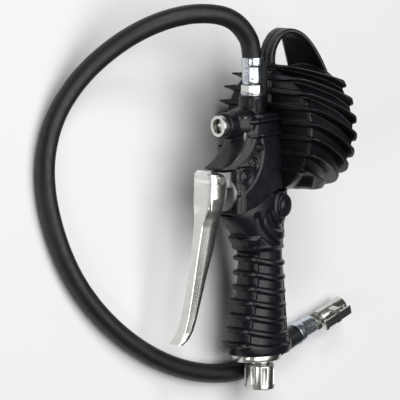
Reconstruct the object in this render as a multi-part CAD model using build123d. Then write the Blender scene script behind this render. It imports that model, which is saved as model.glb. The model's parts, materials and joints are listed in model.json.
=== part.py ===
from build123d import *
import os
from math import cos, pi, radians, sin, sqrt, tan

# Pistol-grip tyre inflator with a dial gauge, a trigger lever, a bleed button and a short hose.
#
# Tool frame, used by every function below: millimetres, the origin at the centre of the gauge
# drum's front face. +X points back towards the dial, -X towards the trigger, +Z up the handle,
# and -Y is the tool's left side. The finished parts are then laid on their side by PLACE.

# Attitude of the tool as it lies on its right side, with the inlet nut resting on the hose.
TILT = 9.1
DRUM_AXIS_HEIGHT = 51.9
ORIGIN_X = 24.5
ORIGIN_Y = 55.57
PLACE = Location((ORIGIN_X, ORIGIN_Y, DRUM_AXIS_HEIGHT), (TILT - 90, 0, 0))

# Gauge and boot
DRUM_R = 43.4
DRUM_LENGTH = 41.0
CASE_R = 40.0
CASE_FRONT = 2.5
CASE_REAR = 35.0
BEZEL_R = 41.4
FIN_R = 51.9
FIN_THICKNESS = 2.4
FIN_HEIGHTS = (46.2, 38.2, 28.6, 18.2, 7.6, -2.6, -14.0, -26.0)
FIN_DROPS = (13.0, 17.0, 20.0, 21.8, 23.0, 24.0, 23.0, 20.0)
FIN_FRONT = -3.6
FIN_CURVE = 1.3
DIAL_X = 31.0
POINTER_X = 33.0
PINION_TEETH = 8
SECTOR_TEETH_WHOLE = 80
GEAR_MODULE = 0.5
PINION_R = PINION_TEETH * GEAR_MODULE / 2
SECTOR_R = SECTOR_TEETH_WHOLE * GEAR_MODULE / 2
GEAR_X = 18.0
GEAR_WIDTH = 2.5

# Lever, its pivot and the valve it works
PIVOT_X = -54.0
PIVOT_Z = -31.7
PIN_R = 2.0
SHEET = 1.5
LEVER_HALF_WIDTH = 9.6
LUG_R = 5.6
LUG_HALF_WIDTH = 7.6
VALVE_Z = -42.0
BOSS_R = 12.6
BOSS_FACE = -44.0
CHAMBER_R = 6.5
STEM_R = 2.4
STEM_TIP = -60.8

# Bleed button
BLEED_Z = 4.9
BLEED_RING_R = 7.35
BLEED_FACE = -48.0
BUTTON_FACE = -44.4

# Handle, inlet and hose outlet
TUBE_X = -8.0
TUBE_R = 9.0
GRIP_BOTTOM = -157.4
RIB_PITCH = 10.0
RIB_COUNT = 7
FIRST_RIB_Z = -89.0
NUT_R = 10.6
NUT_TOP = -165.2
NUT_BOTTOM = -183.0
INLET_THREAD_R = 5.72
TOWER_X = -15.5
TOWER_TOP = 25.8
HOSE_R = 6.8
HOSE_BORE_R = 3.0
TAIL_R = 2.85
HEX_FLATS = 14.0

# Chuck, in its own frame: +X out of the mouth, -Y the side that carries the clip lever
CHUCK_HEADING = 20.0
CHUCK_ROLL = -75.0
CHUCK_AT = (45.4 + ORIGIN_X, -147.27 + ORIGIN_Y, 8.1)
CHUCK_PLACE = Location(CHUCK_AT) * Location((0, 0, 0), (0, 0, CHUCK_HEADING))
CHUCK_ROLLED = CHUCK_PLACE * Location((0, 0, 0), (CHUCK_ROLL, 0, 0))
FERRULE_LENGTH = 20.0
CHUCK_BODY_R = 6.2
CHUCK_END = 51.0
MOUTH_R = 4.1
MOUTH_DEPTH = 10.0
SEAL_R = 3.6
SEAL_THICKNESS = 0.9
CLIP_PIVOT_X = 37.0
CLIP_OFFSET = 8.6
CLIP_SHEET = 1.4
CLIP_STANDOFF = 3.8
EAR_REACH = 1.8
CLIP_PIN_R = 0.9

# The hose's route on the floor that the tool lies on, from inside the upper ferrule
# to inside the chuck's ferrule
HOSE_ROUTE = [
    (9.0, 93.72, 58.08),
    (9.0, 112.87, 61.15),
    (2.02, 124.62, 62.8),
    (-9.48, 134.12, 62.9),
    (-25.48, 138.62, 59.9),
    (-45.48, 139.12, 52.7),
    (-67.48, 133.62, 40.7),
    (-89.48, 121.62, 27.2),
    (-111.48, 103.12, 14.7),
    (-130.48, 79.62, 7.9),
    (-142.98, 52.62, 6.85),
    (-145.98, 24.62, 6.85),
    (-140.48, -6.38, 6.85),
    (-129.48, -33.38, 6.85),
    (-113.48, -55.88, 6.85),
    (-93.98, -74.88, 6.85),
    (-70.48, -91.38, 6.85),
    (-43.48, -103.88, 6.85),
    (-15.48, -110.88, 6.85),
    (14.02, -112.38, 6.85),
    (37.6, -104.4, 7.2),
    (58.62, -95.8, 8.1),
    (81.18, -87.6, 8.1),
]


def along_x(radius, start, end, z=0.0, y=0.0):
    """A round bar along X."""
    bar = Cylinder(radius, abs(end - start), align=(Align.CENTER, Align.CENTER, Align.MIN))
    return Pos(min(start, end), y, z) * Rot(0, 90, 0) * bar


def along_y(radius, start, end, x=0.0, z=0.0):
    """A round bar along Y."""
    bar = Cylinder(radius, abs(end - start), align=(Align.CENTER, Align.CENTER, Align.MIN))
    return Pos(x, max(start, end), z) * Rot(90, 0, 0) * bar


def along_z(radius, low, high, x=0.0, y=0.0):
    """A round bar along Z."""
    bar = Cylinder(radius, high - low, align=(Align.CENTER, Align.CENTER, Align.MIN))
    return Pos(x, y, low) * bar


def block(x0, x1, y0, y1, z0, z1):
    """A box between two corners."""
    box = Box(x1 - x0, y1 - y0, z1 - z0)
    return Pos((x0 + x1) / 2, (y0 + y1) / 2, (z0 + z1) / 2) * box


def side_plate(points, half_width):
    """A plate whose outline is given in X and Z and whose thickness lies evenly about Y = 0."""
    face = Plane.XZ * make_face(Polyline([*points, points[0]]))
    return extrude(face, half_width, both=True)


def front_plate(points, x0, x1):
    """A plate whose outline is given in Y and Z, from x0 to x1."""
    face = Plane.YZ.offset(x0) * make_face(Polyline([*points, points[0]]))
    return extrude(face, x1 - x0)


def mirrored(half):
    """Completes an outline in Y and Z from the half with positive Y, listed top to bottom."""
    return half + [(-y, z) for y, z in reversed(half)]


def spring(radius, wire, turns, start, end, z):
    """A compression spring along X."""
    coil = Helix(pitch=(end - start) / turns, height=end - start, radius=radius)
    section = Plane(origin=coil @ 0, z_dir=coil % 0) * Circle(wire)
    return Pos(start, 0, z) * Rot(0, 90, 0) * sweep(section, path=coil)


# ---------------------------------------------------------------- die-cast body


def core_outline():
    """The outside of the die-cast body, without its bores."""
    head = block(-32, -5, -10, 10, -54, 11)
    tower = along_z(7.6, 0, TOWER_TOP, TOWER_X)
    boss = along_x(BOSS_R, BOSS_FACE, -18, VALVE_Z)
    bleed = along_x(8.4, -42.0, -20, BLEED_Z)
    tube = along_z(TUBE_R, GRIP_BOTTOM, -40, TUBE_X)
    lug = along_y(LUG_R, -LUG_HALF_WIDTH, LUG_HALF_WIDTH, PIVOT_X, PIVOT_Z)
    web = block(PIVOT_X, -40, -LUG_HALF_WIDTH, LUG_HALF_WIDTH, -37.2, PIVOT_Z + LUG_R - 0.6)
    return head + tower + boss + bleed + tube + lug + web


def core_body():
    """The die-cast body: valve chamber, bleed port, hose tower, gauge port and handle tube."""
    cuts = [
        along_x(CHAMBER_R, BOSS_FACE - 1, -14, VALVE_Z),
        along_x(6.2, -43, -28, BLEED_Z),
        along_x(2.0, -28, -18, BLEED_Z),
        along_z(4.8, 13, TOWER_TOP + 1, TOWER_X),
        along_z(3.0, -38, 14, TOWER_X),
        along_z(4.2, -146, -38, TUBE_X),
        along_z(6.0, GRIP_BOTTOM - 1, -145, TUBE_X),
        along_x(6.4, -14, -4, 0),
        along_x(2.5, -22, -13, 0),
        along_y(PIN_R, -20, 20, PIVOT_X, PIVOT_Z),
        along_x(STEM_R + 0.4, PIVOT_X - 8, BOSS_FACE + 1, VALVE_Z),
    ]
    solid = core_outline()
    for cut in cuts:
        solid -= cut
    for x, z in SCREW_PLACES:
        solid -= along_y(1.3, 3.5, 20, x, z)
    return solid


# ---------------------------------------------------------------- head shell

SCREW_PLACES = ((-26.5, -12.0), (-9.5, -14.0), (-26.5, -29.0))
SCREW_SEAT = 13.7
SHELL_SIDE = [
    (-0.8, 11.5),
    (-28, 11.5),
    (-36.5, -5),
    (-39, -12),
    (-43.5, -18),
    (-49, -22),
    (-52.6, -23.4),
    (-52.2, -25.6),
    (-42.6, -26.2),
    (-42, -30),
    (-42, -57.2),
    (-4, -40.5),
    (-0.8, -40),
]
SHELL_HALF_FRONT = [(9.6, 12.5), (13.0, 2), (15.2, -14), (16.4, -32), (16.6, -60)]


def head_outline():
    """The outside of both head shells together."""
    main = side_plate(SHELL_SIDE, 20) & front_plate(mirrored(SHELL_HALF_FRONT), -60, 5)
    tower = along_z(9.1, 0, TOWER_TOP - 0.8, TOWER_X)
    flare = Pos(TOWER_X, 0, 11.5) * Cone(12.5, 9.1, 6, align=(Align.CENTER,) * 2 + (Align.MIN,))
    boss = along_x(9.5, -43.6, -20, BLEED_Z)
    collar = Pos(-35, 0, BLEED_Z) * Rot(0, 90, 0) * Cone(9.5, 12.4, 8)
    return main + tower + flare + boss + collar


def head_cavity():
    """The hollow inside the head shells."""
    inner = [
        (-3.4, 8.5),
        (-27, 8.5),
        (-33.8, -6),
        (-36.6, -13),
        (-40.0, -20),
        (-39.6, -30),
        (-39.6, -53.6),
        (-6.6, -39.2),
        (-3.4, -38),
    ]
    half = [(7.2, 9), (10.4, 1), (12.4, -14), (13.6, -32), (13.8, -60)]
    return side_plate(inner, 18) & front_plate(mirrored(half), -60, 5)


def head_shells():
    """The two moulded halves that clip round the casting, left and right."""
    whole = head_outline() - head_cavity() - core_outline()
    whole -= along_x(6.6, -10, 5, 0)
    whole -= along_x(BOSS_R + 1.4, BOSS_FACE - 2, -39.5, VALVE_Z)
    whole -= along_x(7.5, -50, -41.9, BLEED_Z)
    for x, z in SCREW_PLACES:
        whole -= along_y(1.3, 0, 20, x, z) + along_y(2.8, SCREW_SEAT, 20, x, z)
    left = whole & block(-80, 20, -40, -0.02, -80, 60)
    right = whole & block(-80, 20, 0.02, 40, -80, 60)
    return left, right


# ---------------------------------------------------------------- handle


def grip_section(z, back, front, half_y):
    """One rounded cross-section of the grip, from its front and back points."""
    half_x = (back - front) / 2
    return Pos((back + front) / 2, 0, z) * Ellipse(half_x, half_y)


GRIP_SECTIONS = [
    (-62.0, 11.0, -36.0, 16.0),
    (-72.0, 10.0, -30.0, 15.6),
    (-84.0, 9.6, -23.6, 15.2),
    (-104.0, 10.6, -24.0, 15.2),
    (-124.0, 11.6, -27.0, 15.8),
    (-142.0, 13.0, -32.6, 16.6),
    (-152.0, 17.4, -34.4, 17.0),
    (GRIP_BOTTOM, 15.0, -31.6, 16.4),
]


def grip_sleeve():
    """The moulded grip: an oval sleeve with finger ribs in front and an open pocketed back."""
    body = loft([grip_section(*row) for row in GRIP_SECTIONS])
    shoulder_side = [(-42, -58.4), (-4, -41.4), (13.6, -39), (11.2, -64), (-36, -64)]
    shoulder_front = [(14.0, -36), (16.0, -52), (15.6, -66)]
    shoulder = side_plate(shoulder_side, 20)
    shoulder &= front_plate(mirrored(shoulder_front), -60, 20)
    body += shoulder
    for i in range(RIB_COUNT):
        z = FIRST_RIB_Z - RIB_PITCH * i
        front = -28.4 - 1.55 * i
        rib = extrude(grip_section(z - 1.6, 9.0, front, 15.4 + 0.25 * i), 3.2)
        body += rib & block(-60, -2, -30, 30, z - 3, z + 3)
    body += extrude(grip_section(-79, 8.0, -33.0, 15.0), 9.5) & block(-60, -10, -30, 30, -90, -60)
    body -= along_z(TUBE_R, GRIP_BOTTOM - 1, -38, TUBE_X)
    body -= along_x(DRUM_R + 0.1, -0.7, 60)
    body -= core_outline() + badge()
    return body


def badge():
    """The plain oval medallion on the side of the grip."""
    disc = extrude(Ellipse(6.4, 8.0), 1.4)
    return Pos(1.2, -14.9, -52.6) * Rot(90, 0, 0) * disc


def shell_screws():
    """Three pan-head screws that close the head shells from the right."""
    screws = []
    top = SCREW_SEAT + 1.5
    for x, z in SCREW_PLACES:
        head = along_y(2.6, SCREW_SEAT, top, x, z)
        slots = block(x - 1.6, x + 1.6, top - 0.7, top + 1, z - 0.35, z + 0.35)
        slots += block(x - 0.35, x + 0.35, top - 0.7, top + 1, z - 1.6, z + 1.6)
        screws.append(head - slots + along_y(1.3, 4, SCREW_SEAT, x, z))
    return screws


# ---------------------------------------------------------------- gauge


def fin(height, drop):
    """One fin: a sheet that is straight across the tool and sweeps down towards the dial."""
    span = DRUM_LENGTH - FIN_FRONT
    steps = [i / 6 for i in range(7)]
    upper = [(FIN_FRONT + span * t, height - drop * t**FIN_CURVE) for t in steps]
    lower = [(x, z - FIN_THICKNESS) for x, z in upper]
    top_line = Spline(upper)
    bottom_line = Spline(lower)
    sides = [Line(upper[0], lower[0]), Line(upper[-1], lower[-1])]
    face = make_face(Curve() + [top_line, bottom_line, *sides])
    return extrude(Plane.XZ * face, 60, both=True)


def hanging_loop():
    """The arched strap over the drum, narrow in front and wide where it meets the rear rim."""
    outer = [(-3.4, 44), (-3.2, 54), (0.4, 61.5), (6.5, 67.5), (15, 70.4), (24, 68), (31, 61), (41, 40)]
    inner = [(37, 40), (27.8, 59.4), (22.6, 64.6), (15, 66.6), (8.6, 64), (4.4, 59), (1.9, 53), (1.7, 44)]
    arch = make_face(
        Curve()
        + [Spline(outer), Line(outer[-1], inner[0]), Spline(inner), Line(inner[-1], outer[0])]
    )
    plan = [(-6, -7), (9, -7.4), (42, -19), (42, 19), (9, 7.4), (-6, 7)]
    blank = Pos(0, 0, 35) * extrude(make_face(Polyline([*plan, plan[0]])), 40)
    return extrude(Plane.XZ * arch, 30, both=True) & blank


def gauge_boot():
    """The rubber boot round the gauge, with its fins, hanging loop and spine."""
    drum = along_x(DRUM_R, -0.6, DRUM_LENGTH)
    reach = along_x(FIN_R, FIN_FRONT, DRUM_LENGTH)
    fins = fin(FIN_HEIGHTS[0], FIN_DROPS[0])
    for height, drop in zip(FIN_HEIGHTS[1:], FIN_DROPS[1:]):
        fins += fin(height, drop)
    fins -= block(-0.6, 24, -17.6, 17.6, -60, -36)
    boot = drum + (fins & reach)
    boot += hanging_loop()
    boot += block(-3.8, 0, -3.6, 3.6, 13, 50)
    boot -= block(-10, -0.6, -17.4, 17.4, -60, 12.6)
    boot -= along_x(CASE_R + 0.05, CASE_FRONT, CASE_REAR)
    boot -= along_x(BEZEL_R + 0.05, 32.4, 39.2)
    boot -= along_x(39.6, 30, DRUM_LENGTH + 1)
    boot -= along_x(8.2, -10, 10)
    boot -= along_z(9.3, -60, 60, TOWER_X)
    boot -= along_z(TUBE_R + 0.05, -60, -36, TUBE_X)
    return boot


def gauge_case():
    """The pressed steel cup that holds the movement."""
    cup = along_x(CASE_R, CASE_FRONT, CASE_REAR) - along_x(CASE_R - 1.0, CASE_FRONT + 1.2, CASE_REAR + 1)
    return cup - along_x(7.0, 0, 8)


def gauge_bezel():
    """The ring that clamps the lens to the case."""
    ring = along_x(BEZEL_R, 32.5, 39.1) - along_x(CASE_R + 0.02, 32, 35.0)
    ring -= along_x(38.6, 34.9, 38.0)
    return ring - along_x(37.4, 37.9, 40)


def gauge_lens():
    """The clear lens."""
    return along_x(38.5, 35.7, 37.9)


def lens_gasket():
    """The thin ring under the lens."""
    return along_x(38.5, 35.05, 35.65) - along_x(36.8, 35, 36)


def gauge_dial():
    """The dial plate, held on two screws over the movement."""
    return along_x(37.6, DIAL_X, DIAL_X + 0.8) - along_x(2.2, DIAL_X - 1, DIAL_X + 2)


def gauge_socket():
    """The brass stem that screws into the casting and carries the Bourdon tube."""
    stem = along_x(6.4, -13.0, 8) + along_x(8.0, -0.5, 2.4)
    block_part = block(3.8, 15.5, -7, 7, -9, 5.0)
    foot = block(9.5, 15.5, -5, 5, -34.5, -8.5)
    return stem + block_part + foot - along_x(1.8, -14, 6)


def bourdon_tube():
    """The flattened C-shaped tube that uncurls with pressure."""
    ring = along_x(33.6, 9.0, 15.0) - along_x(30.8, 8, 17)
    gap = [(0, 0)]
    for angle in (84, 128, 172):
        gap.append((60 * sin(radians(angle)), 60 * cos(radians(angle))))
    return ring - front_plate(gap, 8, 17)


def movement_link():
    """The link from the tube's free end to the sector's tail, and the clip that holds it."""
    clip = front_plate([(29.5, 3.2), (34.4, 3.6), (34.4, 1.0), (29.5, 0.6)], 15.0, 22.4)
    link = front_plate([(30.6, 2.4), (32.2, 0.8), (5.0, -28.4), (3.4, -27.0)], 21.2, 22.4)
    return clip + link


def movement_frame():
    """The two plates and posts that carry the movement's arbors."""
    outline = [(9, 7), (9, -27), (-9, -27), (-9, 7)]
    front = front_plate(outline, 16.0, 17.2)
    rear = front_plate(outline, 25.0, 26.2)
    frame = front + rear
    for y, z in ((7, 4.6), (-7, 4.6), (-7, -24.6)):
        frame += along_x(1.1, 17.0, 25.2, z, y)
        frame += along_x(0.9, 26.0, DIAL_X, z, y)
    frame -= along_x(1.05, 10, 30)
    frame -= along_x(1.25, 10, 30, -PINION_R - SECTOR_R)
    return frame


def gear_tooth(radius, angle, half_width):
    """One tooth standing on a pitch circle of the given radius, centred on X = 0."""
    outline = [
        (-half_width * 1.25, radius - 0.9),
        (-half_width * 0.5, radius + 0.34),
        (half_width * 0.5, radius + 0.34),
        (half_width * 1.25, radius - 0.9),
    ]
    tooth = front_plate(outline, GEAR_X, GEAR_X + GEAR_WIDTH)
    return Rot(angle, 0, 0) * tooth


def pointer_arbor():
    """The pointer's arbor with the pinion cut on it."""
    arbor = along_x(1.0, 15.6, POINTER_X + 1.4)
    pinion = along_x(PINION_R - 0.55, GEAR_X, GEAR_X + GEAR_WIDTH)
    for i in range(PINION_TEETH):
        pinion += gear_tooth(PINION_R, 360 / PINION_TEETH * i, 0.24)
    return arbor + pinion


def pointer_needle():
    """The pointer, resting at the zero mark."""
    outline = [(-1.9, -9), (-0.9, 0), (-0.45, 30), (0.45, 30), (0.9, 0), (1.9, -9)]
    needle = front_plate(outline, POINTER_X, POINTER_X + 0.6) + along_x(2.6, POINTER_X, POINTER_X + 1.0)
    needle -= along_x(1.0, POINTER_X - 1, POINTER_X + 2)
    return Rot(135, 0, 0) * needle


def sector_gear():
    """The toothed sector that turns the pinion, with its tail for the link."""
    arbor = along_x(1.2, 15.6, 26.6)
    hub = along_x(3.0, GEAR_X, GEAR_X + GEAR_WIDTH)
    step = 360 / SECTOR_TEETH_WHOLE
    rim = along_x(SECTOR_R - 0.6, GEAR_X, GEAR_X + GEAR_WIDTH) - along_x(15.4, GEAR_X - 1, 26)
    teeth = range(-2, 9)
    reach = [(0, 0), (40 * sin(radians(-12)), 40 * cos(radians(12)))]
    reach.append((40 * sin(radians(38)), 40 * cos(radians(38))))
    fan = front_plate(reach, GEAR_X - 1, GEAR_X + 4)
    web = front_plate([(-2.2, 2), (0.6, 17), (7.6, 15.6), (2.2, 1)], GEAR_X, GEAR_X + GEAR_WIDTH)
    tail = front_plate([(-1.6, 0), (1.6, 0), (3.2, -6), (0.6, -6)], GEAR_X, GEAR_X + GEAR_WIDTH)
    gear = hub + (rim & fan) + web + tail + arbor
    for i in teeth:
        gear += gear_tooth(SECTOR_R, -(i + 0.5) * step, 0.24)
    return Pos(0, 0, -PINION_R - SECTOR_R) * gear


# ---------------------------------------------------------------- lever and valve

LEVER_FRONT = [
    (-60.6, -25.0),
    (-62.0, -27.0),
    (-62.2, -38.0),
    (-63.6, -52.0),
    (-66.4, -63.0),
    (-69.0, -77.0),
    (-72.0, -93.0),
    (-75.6, -111.0),
    (-79.0, -126.0),
    (-83.2, -136.2),
    (-90.0, -143.6),
]
LEVER_BACK = [
    (-88.6, -144.9),
    (-82.0, -141.6),
    (-77.0, -135.4),
    (-73.6, -126.0),
    (-68.6, -110.0),
    (-62.4, -89.0),
    (-57.2, -77.0),
    (-55.0, -63.0),
    (-53.0, -55.5),
    (-49.2, -46.0),
    (-48.2, -38.0),
    (-49.0, -31.7),
    (-50.6, -28.2),
    (-54.0, -26.7),
    (-57.4, -25.0),
]
LEVER_HALF_FRONT = [
    (9.0, -24.0),
    (9.6, -28.0),
    (9.6, -46.0),
    (8.6, -54.0),
    (7.2, -62.0),
    (6.9, -80.0),
    (6.4, -126.0),
    (6.6, -136.0),
    (5.4, -146.0),
]


def shifted(points, dx, dz=0.0):
    """The same outline moved in X and Z."""
    return [(x + dx, z + dz) for x, z in points]


def lever():
    """The pressed trigger lever: a channel with two ears that straddle the lug."""
    outside = side_plate(LEVER_FRONT + LEVER_BACK, 20)
    outside &= front_plate(mirrored(LEVER_HALF_FRONT), -100, -40)
    channel_front = shifted(LEVER_FRONT[1:-2], SHEET)
    channel_back = shifted(LEVER_BACK[2:], 12.0)
    narrow = [(y - SHEET, z) for y, z in LEVER_HALF_FRONT]
    inside = side_plate(channel_front + channel_back, 20)
    inside &= front_plate(mirrored(narrow), -100, -30)
    inside -= block(-100, -57.5, -20, 20, -27.0, -20)
    inner_half = LEVER_HALF_WIDTH - SHEET
    inside += block(-57.5, -40, -inner_half, inner_half, -40, -20)
    part = outside - inside
    return part - along_y(PIN_R + 0.05, -20, 20, PIVOT_X, PIVOT_Z)


def lever_pin():
    """The pivot pin, fixed in the casting's lug, with a head on the left."""
    pin = along_y(PIN_R, -10.2, 11.4, PIVOT_X, PIVOT_Z)
    head = along_y(2.7, -11.6, -10.0, PIVOT_X, PIVOT_Z)
    groove = along_y(PIN_R + 1, 10.2, 10.9, PIVOT_X, PIVOT_Z) - along_y(1.5, 10, 11.2, PIVOT_X, PIVOT_Z)
    return pin + head - groove


def lever_clip():
    """The retaining clip in the groove at the pin's right end."""
    ring = along_y(3.6, 10.3, 10.8, PIVOT_X, PIVOT_Z) - along_y(1.55, 10, 11.2, PIVOT_X, PIVOT_Z)
    return ring - block(PIVOT_X - 0.8, PIVOT_X + 0.8, 9, 12, PIVOT_Z - 6, PIVOT_Z)


def valve_bush():
    """The threaded brass bush that guides the stem and closes the valve chamber."""
    bush = along_x(CHAMBER_R, BOSS_FACE, -33.0, VALVE_Z)
    bush += along_x(4.5, BOSS_FACE - 1.6, BOSS_FACE + 0.5, VALVE_Z)
    bush -= along_x(STEM_R + 0.05, -50, -30, VALVE_Z)
    return bush - along_x(4.2, -37.5, -32, VALVE_Z)


def stem_seal():
    """The O-ring round the stem."""
    seal = along_x(4.15, -37.0, -34.6, VALVE_Z)
    return seal - along_x(STEM_R + 0.03, -40, -30, VALVE_Z)


def valve_seat():
    """The seat ring that the poppet closes on."""
    return along_x(CHAMBER_R, -32.9, -29.6, VALVE_Z) - along_x(3.2, -34, -29, VALVE_Z)


def valve_stem():
    """The sliding stem that the lever pushes, with its poppet and soft face."""
    stem = along_x(STEM_R, STEM_TIP, -28.5, VALVE_Z)
    poppet = along_x(5.0, -29.3, -26.6, VALVE_Z)
    spigot = along_x(2.2, -27, -24.4, VALVE_Z)
    return stem + poppet + spigot


def valve_spring():
    """The spring behind the poppet."""
    return spring(3.7, 0.45, 4.0, -25.9, -15.0, VALVE_Z)


# ---------------------------------------------------------------- bleed button


def bleed_sleeve():
    """The nickelled port ring that houses the bleed button."""
    ring = along_x(BLEED_RING_R, BLEED_FACE, -43.7, BLEED_Z) + along_x(6.2, -44, -29, BLEED_Z)
    ring -= along_x(5.2, BLEED_FACE - 1, -38, BLEED_Z)
    ring -= along_x(2.05, -39, -28, BLEED_Z)
    return ring - Pos(-45.6, 0, BLEED_Z) * Cylinder(0.8, 20)


def bleed_button():
    """The button, recessed in the port ring, with its stem."""
    return along_x(4.0, BUTTON_FACE, -42.0, BLEED_Z) + along_x(2.0, -42.5, -31.5, BLEED_Z)


def bleed_spring():
    """The spring that returns the bleed button."""
    return spring(3.2, 0.35, 3.0, -41.4, -38.6, BLEED_Z)


# ---------------------------------------------------------------- inlet


def base_flange():
    """The oval metal plate under the grip."""
    plate = Pos(-10.8, 0, -161.8) * extrude(Ellipse(18.9, 15.0), 4.3)
    return plate - along_z(6.0, -170, -150, TUBE_X)


def inlet_nipple():
    """The nipple that clamps the flange and carries the swivel nut."""
    nipple = along_z(6.0, -161.9, -145.2, TUBE_X) + along_z(8.4, -164.6, -161.9, TUBE_X)
    nipple += along_z(7.2, -170.2, -164.6, TUBE_X) + along_z(8.1, -172.0, -170.2, TUBE_X)
    return nipple - along_z(3.5, -180, -140, TUBE_X)


def swivel_nut():
    """The fluted inlet nut, free to turn on the nipple."""
    nut = along_z(NUT_R, NUT_BOTTOM, NUT_TOP, TUBE_X)
    nut = chamfer(nut.edges().filter_by(GeomType.CIRCLE), 0.9)
    for i in range(8):
        flute = along_z(2.6, -179.2, -167.4, TUBE_X + NUT_R + 1.5)
        nut -= Pos(TUBE_X, 0, 0) * Rot(0, 0, 22.5 + 45 * i) * Pos(-TUBE_X, 0, 0) * flute
    nut -= along_z(7.28, -170.5, -160, TUBE_X)
    nut -= along_z(8.3, -173.4, -169.9, TUBE_X)
    return nut - along_z(INLET_THREAD_R, -190, -173, TUBE_X)


def inlet_washer():
    """The sealing washer under the nipple's face."""
    return along_z(5.6, -173.3, -172.1, TUBE_X) - along_z(3.4, -175, -170, TUBE_X)


def inlet_filter():
    """The mesh filter in the nipple."""
    return along_z(3.45, -170.5, -160.5, TUBE_X) - along_z(2.5, -169.5, -150, TUBE_X)


# ---------------------------------------------------------------- hose and its ends


def hex_prism(flats, low, high, x):
    """A hexagon bar along Z with a flat facing sideways."""
    corner_r = flats / sqrt(3)
    return Pos(x, 0, low) * extrude(RegularPolygon(corner_r, 6, rotation=30), high - low)


def hose_adapter():
    """The hexagon fitting screwed into the tower, with the tail that the hose is pushed over."""
    fitting = hex_prism(HEX_FLATS, 27.0, 31.9, TOWER_X) + along_z(4.8, 13.5, 27.5, TOWER_X)
    fitting += along_z(TAIL_R, 31.5, 46, TOWER_X)
    return fitting - along_z(1.9, 0, 60, TOWER_X)


def adapter_washer():
    """The plain washer under the hexagon."""
    return along_z(8.3, TOWER_TOP, 26.9, TOWER_X) - along_z(4.9, 20, 30, TOWER_X)


def ferrule_profile(start):
    """The crimped ferrule's outside, as length along the hose and radius."""
    profile = [(0, 6.5), (1.2, 6.9), (12.2, 7.3), (13.0, 7.75), (18.4, 7.9), (18.4, 0), (0, 0)]
    return [(start + s, r) for s, r in profile]


def ferrule_blank():
    """A ferrule along +Z from 0, with eight crimp flats and its bore for the hose."""
    rows = ferrule_profile(0)
    face = Plane.XZ * make_face(Polyline([(r, s) for s, r in [*rows, rows[0]]]))
    blank = revolve(face, Axis.Z)
    for i in range(8):
        flat = block(6.85, 9, -4, 4, 1.5, 11.8)
        blank -= Rot(0, 0, 45 * i + 10) * flat
    blank -= along_z(6.0, 1.6, 13, 0)
    blank -= along_z(HOSE_R, 12.6, 20, 0)
    return blank - along_z(HOSE_BORE_R + 0.05, -1, 3, 0)


def hose_ferrule():
    """The crimped ferrule above the tower."""
    return Pos(TOWER_X, 0, 32.6) * ferrule_blank()


def rounded_route(points):
    """The route as straight runs joined by the largest tangent arcs they leave room for."""
    radii = []
    for before, corner, after in zip(points, points[1:], points[2:]):
        run_in = Vector(*corner) - Vector(*before)
        run_out = Vector(*after) - Vector(*corner)
        turn = run_in.get_angle(run_out)
        shorter = min(run_in.length, run_out.length)
        radii.append(0.45 * shorter / tan(radians(turn / 2)))
    return FilletPolyline(*points, radius=radii), radii


def hose():
    """The rubber hose, on its route over the floor."""
    path, radii = rounded_route(HOSE_ROUTE)
    section = Circle(HOSE_R) - Circle(HOSE_BORE_R)
    tube = sweep(Plane(origin=path @ 0, z_dir=path % 0) * section, path=path)
    print("hose radii", [round(r, 1) for r in radii])
    expected = pi * (HOSE_R**2 - HOSE_BORE_R**2) * path.length
    print("hose length", round(path.length, 1), "volume ratio", round(tube.volume / expected, 4))
    return tube


def chuck_ferrule():
    """The crimped ferrule behind the chuck, mouth towards the hose."""
    return Pos(FERRULE_LENGTH - 1.6, 0, 0) * Rot(0, -90, 0) * ferrule_blank()


def chuck_body():
    """The chuck: a tail for the hose, a hexagon, and the body with its valve mouth and ears."""
    tail = along_x(TAIL_R, 3, 20)
    hexagon = Rot(0, 90, 0) * Pos(0, 0, 18.45) * extrude(RegularPolygon(7.4, 6), 4.0)
    neck = along_x(5.0, 22, 26)
    barrel = along_x(CHUCK_BODY_R, 25.5, CHUCK_END)
    body = tail + hexagon + neck + barrel
    for side in (-1, 1):
        outer = -CLIP_OFFSET - EAR_REACH
        body += block(34.6, 39.4, outer, -3.0, side * 4.4 - 0.9, side * 4.4 + 0.9)
    body -= along_x(MOUTH_R, CHUCK_END - MOUTH_DEPTH, CHUCK_END + 1)
    body -= along_x(SEAL_R, CHUCK_END - MOUTH_DEPTH - SEAL_THICKNESS - 0.1, CHUCK_END)
    body -= along_x(1.6, 0, 45)
    body -= block(40.5, 47.6, -10, -3.0, -2.5, 2.5)
    return body - Pos(CLIP_PIVOT_X, -CLIP_OFFSET, 0) * Cylinder(CLIP_PIN_R, 40)


def chuck_seal():
    """The rubber seal at the bottom of the mouth."""
    face = CHUCK_END - MOUTH_DEPTH - 0.1
    return along_x(SEAL_R, face - SEAL_THICKNESS, face) - along_x(1.7, face - 2, face + 1)


def clip_lever():
    """The clip lever: a pressed bar with side cheeks, and a jaw that reaches the valve's thread."""
    outer = -CLIP_OFFSET - CLIP_STANDOFF
    inner = outer + CLIP_SHEET
    bar = block(22.5, 48.5, outer, inner, -3.2, 3.2)
    cheek = block(34.0, 40.0, outer, -CLIP_OFFSET + 1.6, -3.2, 3.2)
    cheek -= block(33, 41, inner, 0, -2.0, 2.0)
    jaw = block(45.0, 46.2, outer, -4.9, -2.0, 2.0)
    tip = block(20.0, 23.0, outer - 0.6, inner, -3.8, 3.8)
    part = bar + cheek + jaw + tip
    return part - Pos(CLIP_PIVOT_X, -CLIP_OFFSET, 0) * Cylinder(CLIP_PIN_R + 0.05, 40)


def clip_spring():
    """The coil spring on the clip's pin."""
    coil = Cylinder(1.8, 3.4) - Cylinder(1.0, 4)
    return Pos(CLIP_PIVOT_X, -CLIP_OFFSET, 0) * coil


def clip_pin():
    """The clip lever's pin, fixed in the body's ears."""
    return Pos(CLIP_PIVOT_X, -CLIP_OFFSET, 0) * Cylinder(CLIP_PIN_R, 10.6)


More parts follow.
